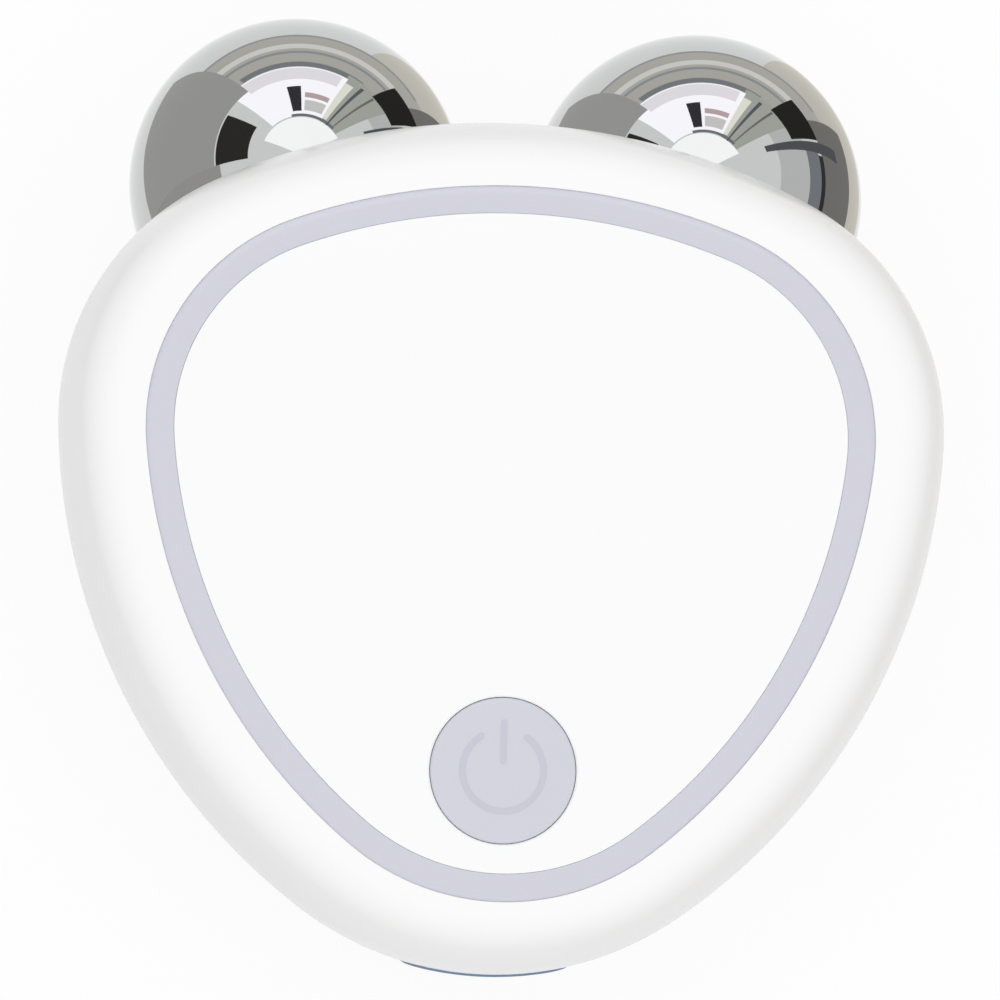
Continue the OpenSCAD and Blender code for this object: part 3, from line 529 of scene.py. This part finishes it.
ring = {
    "rimSide": 5.9, "rimTop": 5.5, "rimTail": 4.8,   # the shell's rim round it
    # by how much its arcs are smaller than the body's
    "cornerStep": 3.1, "topStep": 4.2, "sideStep": 3.4, "tailStep": 5.9,
    "width": 1.9, "depth": 2.8, "round": 0.07, "gap": 0.012, "rimRound": 0.06,
    "shoulderR": 1.5, "shoulderW": 0.6,              # soft fall of its top towards the shell
}
ringShape = (
    body["width"] / 2 - ring["rimSide"], bodyTop - ring["rimTop"], tailEdge + ring["rimTail"],
    body["cornerR"] - ring["cornerStep"], body["topR"] - ring["topStep"],
    body["sideR"] - ring["sideStep"], body["tailR"] - ring["tailStep"],
)


def makeFrontShell():
    seam, r = body["seam"], body["seamRound"]
    base = -body["partingDepth"] + seam
    gap, rim = ring["gap"], ring["rimRound"]
    edge = [(r + x, base + r + z) for x, z in corner(r, (0, 0), 270, 180, steps=4)]
    levels = [(inset, z) for inset, z in frontLevels(0) if z > base + r + body["seamClear"]]
    skinLoops = [loopAt(bodyShape, *level) for level in edge + levels]
    skinLoops += [loopAt(ringShape, -gap - x, z) for x, z in corner(rim, (rim, -rim), 90, 180, steps=4)]
    skin = stack("skin", skinLoops, ends="open", smoothAngle=180)
    shell = stack("frontShell", skinLoops + [loopAt(ringShape, -gap, -body["wall"] - overshoot)])
    inside = [(body["wall"], -body["partingDepth"] - overshoot)]
    inside += frontLevels(body["wall"], flankSteps=8, edgeSteps=6)
    carve(shell, [hollow(inside)] + ballCutters(socketR))
    shadeLike(shell, skin)
    finishPiece(shell, "casing", "white_shell", "front_shell")


def makeRearShell():
    seam, r = body["seam"], body["seamRound"]
    top = -body["partingDepth"] - seam
    edge = [(r + x, top - r + z) for x, z in corner(r, (0, 0), 180, 90, steps=4)]
    levels = [(inset, z) for inset, z in backLevels(0) if z < top - r - body["seamClear"]]
    skinLoops = [loopAt(bodyShape, *level) for level in levels + edge]
    skin = stack("skin", skinLoops, ends="open", smoothAngle=180)
    shell = stack("rearShell", skinLoops)
    inside = backLevels(body["wall"], steps=14) + [(body["wall"], overshoot - body["partingDepth"])]
    carve(shell, [hollow(inside)] + ballCutters(socketR) + portCutters() + bossCutters())
    shadeLike(shell, skin)
    finishPiece(shell, "casing", "white_shell", "rear_shell")


# Charging port: a pocket in the tail with the socket's opening behind it, and the silicone plug that
# fills it.

plug = {
    "portZ": -12.03, "pocket": 1.45, "gap": 0.05,
    "width": 12, "height": 5, "proud": 0.15, "round": 0.15,
    "rows": (0.8, 0.55, 0.3, 0.1),                 # heights of the loops across the flap, as shares
    "stemW": 8.1, "stemH": 2.42, "stemL": 3, "stemSink": 0.05, "stemTaper": 0.2,
    "slotW": 6.99, "slotH": 1, "slotL": 1.7,       # room in the stem for the socket's tongue
    "mouthW": 9.14, "mouthH": 3.46, "mouthL": 4,   # the socket's opening
}


# Round ends joined by straight runs, which get points too, so that they can follow the tail's curve.
def slotLoop(w, h, y, steps=24):
    out = []
    for side, first in ((right, -90), (left, 90)):
        for i in range(steps + 1):
            a = radians(first + 180 * i / steps)
            out.append(Vector((side * (w - h) / 2 + h / 2 * cos(a), y, plug["portZ"] + h / 2 * sin(a))))
        out += [Vector((side * (w - h) / 2 * (1 - 2 * i / steps), y, plug["portZ"] + side * h / 2))
                for i in range(1, steps)]
    return out


def slotCutter(w, h, fromY, toY):
    return stack("cutter", [slotLoop(w, h, fromY), slotLoop(w, h, toY)])


def portCutters():
    p, y = plug, tailEdge + plug["pocket"]
    return [slotCutter(p["width"] + 2 * p["gap"], p["height"] + 2 * p["gap"], y, tailEdge - overshoot),
            slotCutter(p["mouthW"], p["mouthH"], y + p["mouthL"], y - overshoot)]


# How far out the tail's back surface lies at a place on it, moved out by proud.
def tailSurface(x, z, proud):
    r = body["backR"] + proud
    inset = body["backR"] - sqrt(max(r * r - (z - body["backR"] + body["thickness"]) ** 2, 0))
    tail = body["tailR"] - inset
    return tailEdge + body["tailR"] - sqrt(tail * tail - x * x)


# A loop on the flap's face, which follows the tail, or deeper than it by drop.
def flapLoop(w, h, drop=0):
    return [Vector((v.x, tailSurface(v.x, v.z, plug["proud"]) + drop, v.z)) for v in slotLoop(w, h, 0)]


def makePlug():
    p, r = plug, plug["round"]
    loops = [slotLoop(p["width"], p["height"], tailEdge + p["pocket"])]
    loops += [flapLoop(p["width"] - 2 * (r + x), p["height"] - 2 * (r + x), r - z)
              for x, z in corner(r, (0, 0), 180, 90, steps=6)]
    heights = [(p["height"] - 2 * r) * share for share in p["rows"]]
    loops += [flapLoop(p["width"] - p["height"] + h, h) for h in heights]
    flap = stack("portPlug", loops, smoothAngle=50)
    y, w, h, taper = tailEdge + p["pocket"] - p["stemSink"], p["stemW"], p["stemH"], p["stemTaper"]
    tip = y + p["stemL"]
    stem = stack("plugStem", [slotLoop(w, h, y), slotLoop(w, h, tip - taper),
                              slotLoop(w - 2 * taper, h - 2 * taper, tip)])
    carve(stem, [slotCutter(p["slotW"], p["slotH"], tip - p["slotL"], tip + overshoot)])
    for piece in (flap, stem):
        finishPiece(piece, "plug", "plug_silicone", "port_plug")


makeFrontShell()
makeRearShell()
makePlug()
print("stage: shells and plug made")


# Light ring, face panel and power button.

panel = {"thickness": 1.6, "gap": 0.012, "round": 0.04, "holeRound": 0.22}
button = {
    "fromTail": 13.75, "r": 5, "sink": 0.05, "gap": 0.03, "round": 0.2,
    "flangeR": 6.2, "flangeTop": -1.85, "flangeBottom": -2.45, "stemR": 1.5, "stemEnd": -3.6,
    "markR": 2.78, "markW": 0.47, "markOpen": 34,      # the circle is open this many degrees each way
    "barBottom": 0.4, "barLength": 3.1,
    "markDeep": 0.03, "markFill": 0.02,                # its groove and the ink in it
}
buttonCentre = Vector((0, tailEdge + button["fromTail"], 0))


def makeRing():
    w, r, low = ring["width"], ring["round"], -ring["depth"]
    wide, steep = ring["shoulderW"], degrees(asin(ring["shoulderW"] / ring["shoulderR"]))
    shoulder = corner(ring["shoulderR"], (wide, -ring["shoulderR"]), 90 + steep, 90, steps=8)
    profile = [(0, low)] + shoulder + corner(r, (w - r, -r), 90, 0) + [(w, low)]
    obj = stack("lightRing", [loopAt(ringShape, x, z) for x, z in profile], ends="ring")
    finishPiece(obj, "casing", "milky_ring", "light_ring")


def makePanel():
    low, r = -panel["thickness"], panel["round"]
    edge = ring["width"] + panel["gap"]
    loops = [loopAt(ringShape, edge, low)]
    loops += [loopAt(ringShape, edge + x, z) for x, z in corner(r, (r, -r), 180, 90)]
    ways = [(p - buttonCentre).normalized() for p in loopAt(ringShape, edge, 0)]
    holeR, r = button["r"] + button["gap"], panel["holeRound"]
    for x, z in corner(r, (r, -r), 90, 180, steps=8) + [(0, low)]:
        loops.append([buttonCentre + way * (holeR + x) + Vector((0, 0, z)) for way in ways])
    obj = stack("facePanel", loops, ends="ring")
    finishPiece(obj, "casing", "white_panel", "face_panel")


# The outlines of the power mark's open circle and of its bar, as loops of (x, y).
def markShapes(steps=96, endSteps=10):
    b = button
    r, mid, first, last = b["markW"] / 2, b["markR"], 90 + b["markOpen"], 450 - b["markOpen"]

    def roundEnd(angle, start):
        place = (mid * cos(radians(angle)), mid * sin(radians(angle)))
        return corner(r, place, start, start + 180, endSteps)[1:-1]

    circle = (corner(mid + r, (0, 0), first, last, steps) + roundEnd(last, last)
              + corner(mid - r, (0, 0), last, first, steps) + roundEnd(first, first + 180))
    top, bottom = b["barBottom"] + b["barLength"] - r, b["barBottom"] + r
    bar = corner(r, (0, top), 0, 180, endSteps) + corner(r, (0, bottom), 180, 360, endSteps)
    return [circle, bar]


def markSolids(names, low, high):
    return [stack(name, [[Vector((x, y, z)) + buttonCentre for x, y in outline] for z in (low, high)])
            for name, outline in zip(names, markShapes())]


def makeButton():
    b = button
    top, low = -b["sink"], b["flangeBottom"]
    profile = ([(0, top)]
               + corner(b["round"], (b["r"] - b["round"], top - b["round"]), 90, 0, steps=8)
               + [(b["r"], b["flangeTop"]), (b["flangeR"], b["flangeTop"]), (b["flangeR"], low),
                  (b["stemR"], low), (b["stemR"], b["stemEnd"]), (0, b["stemEnd"])])
    obj = lathe("powerButton", profile, Matrix.Translation(buttonCentre), steps=160, smoothAngle=30)
    groove = top - b["markDeep"]
    carve(obj, markSolids(("cutter", "cutter"), groove, top + overshoot), smoothAngle=30)
    finishPiece(obj, "button", "milky_button", "power_button")
    for part in markSolids(("powerMarkCircle", "powerMarkBar"), groove, groove + b["markFill"]):
        finishPiece(part, "button", "milky_button", look="printedMark")


pad = {"outerR": 5.8, "innerR": 3.4, "floor": -3.25, "top": -2.48, "lip": 0.18, "pressed": 0.46}


# A silicone ring that returns the button.
def makePad():
    p = pad
    crown = corner(p["lip"], (p["outerR"] - p["lip"], p["top"] - p["lip"]), 0, 90)
    crown += corner(p["lip"], (p["innerR"] + p["lip"], p["top"] - p["lip"]), 90, 180)
    profile = [(p["outerR"], p["floor"])] + crown + [(p["innerR"], p["floor"])]
    obj = lathe("buttonPad", profile, Matrix.Translation(buttonCentre), steps=96, smoothAngle=40)
    finishPiece(obj, "casing", "pad_silicone", "button_pad")
    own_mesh(obj)


makeRing()
makePanel()
makeButton()
makePad()
print("stage: face made")


# Studio: pale floor, soft light all round, and the cards that chrome needs to read as metal.

studio = {
    "floorSize": 3, "floorPaint": "#C2C2C2",               # metres each way, and its colour as a reflector
    "floorSeen": "#F6F6F6", "floorShine": 0.9,             # what the eye gets: nearly plain white
    "skyLow": 8, "skyHigh": 45,                            # the sky brightens between these degrees
    "lowLight": 0.56, "highLight": 0.93,
    "endLight": 0.38, "tailLean": 0.18,                    # more light from both ends, most at the tail
    "cardsAway": 2.4, "cardStep": 0.04, "cardDetail": 3,   # metres, metres and degrees
}


# Is 1 for what the eye sees straight, in a mirror or through glass, and 0 for the rest.
def seenRay(tree):
    path = addNode(tree, "ShaderNodeLightPath")
    seen = path.outputs["Is Camera Ray"]
    for ray in ("Is Glossy Ray", "Is Transmission Ray"):
        seen = addNode(tree, "ShaderNodeMath", links={0: seen, 1: path.outputs[ray]},
                       operation="MAXIMUM").outputs[0]
    return seen


def makeFloor():
    s = studio["floorSize"]
    obj = addMesh("floor", [(-s, -s, 0), (s, -s, 0), (s, s, 0), (-s, s, 0)], [(0, 1, 2, 3)])
    m, tree = emptyMaterial("paleFloor")
    paint = addNode(tree, "ShaderNodeBsdfDiffuse", {"Color": linear(studio["floorPaint"])})
    pale = addNode(tree, "ShaderNodeBsdfDiffuse", {"Color": linear(studio["floorSeen"])})
    white = addNode(tree, "ShaderNodeEmission", {"Color": (1, 1, 1, 1), "Strength": 1.0})
    bright = addNode(tree, "ShaderNodeMixShader", {0: studio["floorShine"]},
                     {1: pale.outputs[0], 2: white.outputs[0]})
    mix = addNode(tree, "ShaderNodeMixShader", links={0: seenRay(tree), 1: paint.outputs[0],
                                                      2: bright.outputs[0]})
    addNode(tree, "ShaderNodeOutputMaterial", links={"Surface": mix.outputs[0]})
    obj.data.materials.append(m)
    obj.visible_glossy = False        # the world's own white shows in metal instead


def makeWorld():
    world = bpy.data.worlds.new("studio")
    bpy.context.scene.world = world
    world.use_nodes = True
    tree = world.node_tree
    tree.nodes.clear()
    way = addNode(tree, "ShaderNodeTexCoord")
    axes = addNode(tree, "ShaderNodeSeparateXYZ", links={0: way.outputs["Generated"]})
    height = addNode(tree, "ShaderNodeMath", links={0: axes.outputs["Z"]}, operation="ARCSINE")
    sky = addNode(tree, "ShaderNodeMapRange",
                  {"From Min": radians(studio["skyLow"]), "From Max": radians(studio["skyHigh"]),
                   "To Min": studio["lowLight"], "To Max": studio["highLight"]},
                  {"Value": height.outputs[0]}, interpolation_type="SMOOTHSTEP")
    ends = addNode(tree, "ShaderNodeMath", links={0: axes.outputs["Y"]}, operation="ABSOLUTE")
    lean = addNode(tree, "ShaderNodeMath", {1: -studio["tailLean"]},
                   {0: axes.outputs["Y"], 2: sky.outputs[0]}, operation="MULTIPLY_ADD")
    both = addNode(tree, "ShaderNodeMath", {1: studio["endLight"]},
                   {0: ends.outputs[0], 2: lean.outputs[0]}, operation="MULTIPLY_ADD")
    light = addNode(tree, "ShaderNodeBackground", {"Color": (1, 1, 1, 1)},
                    {"Strength": both.outputs[0]})
    white = addNode(tree, "ShaderNodeBackground", {"Color": (1, 1, 1, 1), "Strength": 1.0})
    mix = addNode(tree, "ShaderNodeMixShader", links={0: seenRay(tree), 1: light.outputs[0],
                                                      2: white.outputs[0]})
    addNode(tree, "ShaderNodeOutputWorld", links={"Surface": mix.outputs[0]})


# Light boxes and dark flags round the device, by compass angle from +x and by height above the floor,
# in degrees. Each stands nearer than the one before it in the list. A light of 1 is white.
cards = [
    {"what": "warmFloor", "turn": (-60, 66), "height": (-54, -14), "light": 0.84, "tint": "#FAF6EA"},
    {"what": "darkWall", "turn": (-80, 40), "height": (-33, -2), "light": 0.27, "tint": "#FBF8F2"},
    {"what": "doorFrame", "turn": (-80, 24), "height": (-3, 1), "light": 0.05, "tint": "#FFFFFF"},
    {"what": "door", "turn": (-80, 26), "height": (1, 12), "light": 0.32, "tint": "#F0F6FF"},
    {"what": "paleWall", "turn": (-80, 44), "height": (12, 36), "light": 0.82, "tint": "#F6F8F6"},
    {"what": "lowWall", "turn": (40, 180), "height": (-15, 22), "light": 0.68, "tint": "#FBF8EF"},
    {"what": "wallLine", "turn": (44, 126), "height": (-15.5, -13), "light": 0.48, "tint": "#FFFFFF"},
    {"what": "brightLedge", "turn": (50, 124), "height": (-3, 2.5), "light": 0.98, "tint": "#FFFFFA"},
    {"what": "ledgeShadow", "turn": (50, 124), "height": (5.5, 8), "light": 0.46, "tint": "#F4FBFF"},
    {"what": "windowShadow", "turn": (58, 122), "height": (17, 21.5), "light": 0.33, "tint": "#F6FAFF"},
    {"what": "curtain", "turn": (38, 66), "height": (18, 66), "light": 0.62, "tint": "#FAFCF2"},
    {"what": "window", "turn": (65, 133), "height": (22, 62), "light": 1.7, "tint": "#FCFAFF"},
    {"what": "windowHaze", "turn": (68, 124), "height": (23, 33), "light": 1.35, "tint": "#F8F3FA"},
    {"what": "windowShade", "turn": (68, 88), "height": (44, 48), "light": 0.78, "tint": "#FFE3E6"},
    {"what": "windowSill", "turn": (68, 88), "height": (50, 58), "light": 0.98, "tint": "#FAF8F6"},
    {"what": "windowPost", "turn": (91, 101), "height": (39, 58.5), "light": 0.06, "tint": "#EDECFF"},
    {"what": "windowEdge", "turn": (46, 104), "height": (60.5, 62.5), "light": 0.3, "tint": "#E8F2FF"},
    {"what": "curtainLight", "turn": (60, 65), "height": (26, 60), "light": 1.25, "tint": "#FFFEF0"},
    {"what": "curtainFold", "turn": (55, 57), "height": (22, 64), "light": 0.2, "tint": "#E6F0FF"},
    {"what": "curtainHem", "turn": (47.5, 49), "height": (22, 60), "light": 0.26, "tint": "#FFF4F0"},
    {"what": "rightFlag", "turn": (31, 50), "height": (-2, 21), "light": 0.03, "tint": "#FFFAF4"},
    {"what": "rail", "turn": (25, 30), "height": (-18, 44), "light": 0.14, "tint": "#F4F8FF"},
    {"what": "greyCard", "turn": (124, 180), "height": (-38, 30), "light": 0.5, "tint": "#FFFEFC"},
    {"what": "sideCard", "turn": (-180, -150), "height": (-38, 34), "light": 0.47, "tint": "#FFFDFA"},
    {"what": "leftFlag", "turn": (144, 180), "height": (31, 54), "light": 0.04, "tint": "#FFF8F0"},
    {"what": "topLight", "turn": (32, 156), "height": (63, 88), "light": 1.6, "tint": "#FFFFFF"},
]


def anglesOf(first, last):
    steps = max(2, round((last - first) / studio["cardDetail"]))
    return [radians(first + (last - first) * i / steps) for i in range(steps + 1)]


# A patch of a sphere round the device, which only shows in mirrors and through glass.
def makeCard(card, away):
    turns, heights = anglesOf(*card["turn"]), anglesOf(*card["height"])
    verts = [Vector((cos(t) * cos(h), sin(t) * cos(h), sin(h))) * away for h in heights for t in turns]
    n = len(turns)
    faces = [(r * n + k, r * n + k + 1, r * n + n + k + 1, r * n + n + k)
             for r in range(len(heights) - 1) for k in range(n - 1)]
    obj = addMesh(card["what"], verts, faces)
    m, tree = emptyMaterial(card["what"])
    glow = addNode(tree, "ShaderNodeEmission", {"Color": linear(card["tint"]), "Strength": card["light"]})
    addNode(tree, "ShaderNodeOutputMaterial", links={"Surface": glow.outputs[0]})
    obj.data.materials.append(m)
    obj.visible_camera = obj.visible_diffuse = obj.visible_shadow = False


def makeCards():
    for i, card in enumerate(cards):
        makeCard(card, studio["cardsAway"] - i * studio["cardStep"])


makeFloor()
makeWorld()
makeCards()
bpy.context.scene.view_settings.view_transform = "Standard"
print("stage: studio lit")
